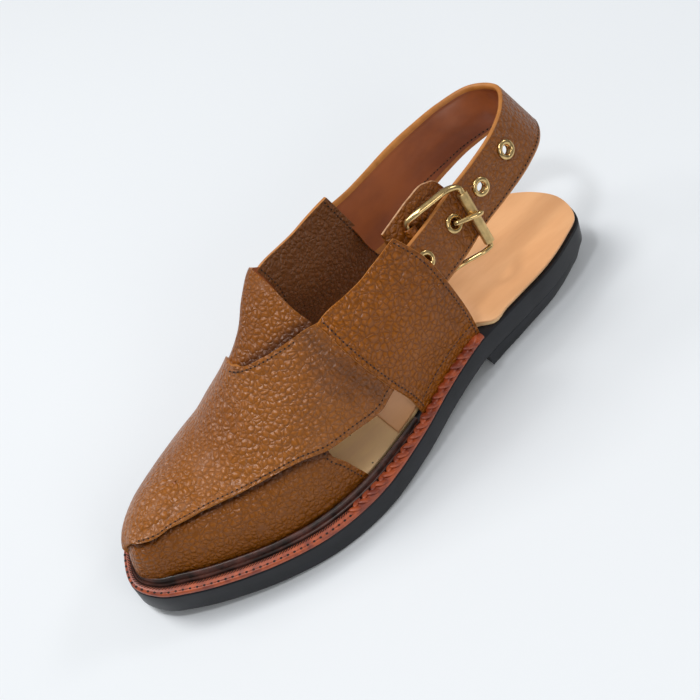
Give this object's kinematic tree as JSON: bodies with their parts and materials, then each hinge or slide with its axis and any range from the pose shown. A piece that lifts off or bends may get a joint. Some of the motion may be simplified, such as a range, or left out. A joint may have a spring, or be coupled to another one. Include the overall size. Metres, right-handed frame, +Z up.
{
  "type": "chappal",
  "caption": "Left leather chappal with crossed upper panels, wide side straps, a buckled heel strap and a welted rubber sole.",
  "frame": {"origin": "centre of the heel's tread face, on the floor", "axes": "+Z up; the toe points towards -Y and the heel's back towards +Y; +X is the lateral side, the little toe's"},
  "size_m": [0.1047, 0.2953, 0.0997],
  "materials": {
    "grained_leather": "pebbled tan-brown leather",
    "lining_leather": "red-brown leather, grained outside and smooth inside",
    "sock_leather": "smooth light tan leather",
    "insole_board": "pale matt leather board",
    "welt_leather": "red-brown polished leather",
    "rand_leather": "dark brown polished leather",
    "sole_rubber": "black rubber, satin",
    "brass": "brushed brass"
  },
  "bodies": {
    "root": {"upper": "grained_leather", "heel_strap": "lining_leather", "buckle_chape": "grained_leather", "buckle_frame": "brass", "buckle_roller": "brass", "buckle_prong": "brass", "eyelet_1": "brass", "eyelet_2": "brass", "eyelet_3": "brass", "eyelet_4": "brass", "heel_sock": "sock_leather", "insole": "insole_board", "rand": "rand_leather", "welt": "welt_leather", "outsole": "sole_rubber", "heel_lift": "sole_rubber"}
  },
  "joints": []
}
